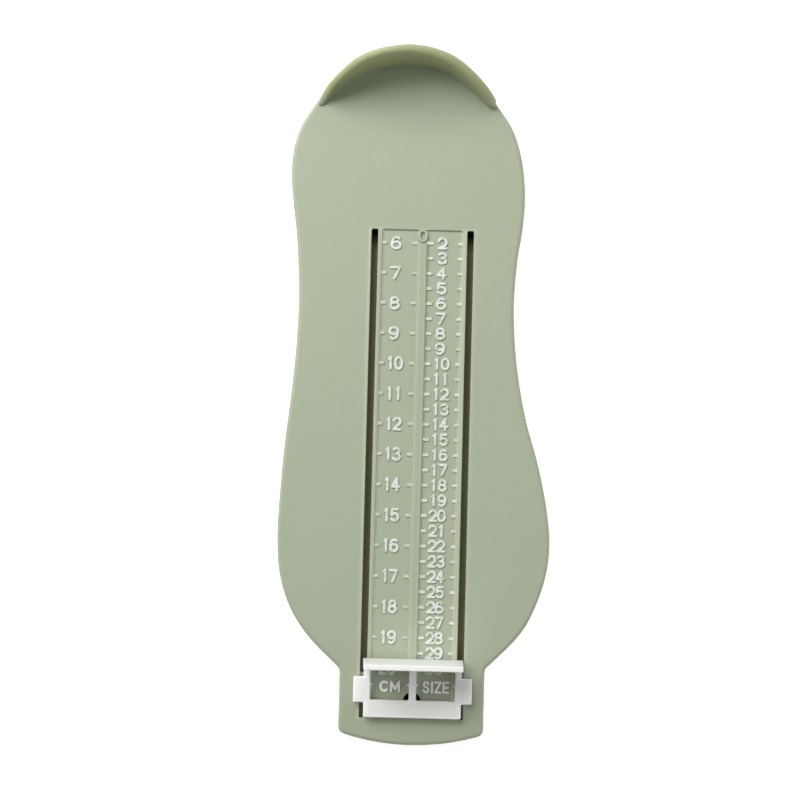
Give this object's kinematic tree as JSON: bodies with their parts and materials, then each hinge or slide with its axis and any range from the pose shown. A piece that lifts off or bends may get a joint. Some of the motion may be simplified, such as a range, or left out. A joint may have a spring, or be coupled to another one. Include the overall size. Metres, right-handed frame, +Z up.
{
  "type": "foot measuring device",
  "caption": "Child's foot-length gauge: foot-shaped plastic plate with a heel cup, a number scale between two slots, and a white toe stop with reading windows that slides along it.",
  "frame": {"origin": "centre of the bounding box at table level, the plate's skirt standing on z = 0", "axes": "+Y from the toe tab to the heel cup along the scale, +Z up out of the tread, +X to the right with the heel cup at the top of the view"},
  "size_m": [0.0897, 0.2272, 0.025],
  "materials": {
    "sage_plastic": "satin moulded sage green",
    "white_plastic": "smooth moulded white"
  },
  "bodies": {
    "plate": {"footplate": "sage_plastic"},
    "toe_stop": {"slider": "white_plastic", "slider_strap": "white_plastic"}
  },
  "joints": [
    {"name": "slider_slide", "type": "slide", "parent": "plate", "child": "toe_stop", "axis": [0, 1, 0], "range_m": [-0.0055, 0.147]}
  ]
}
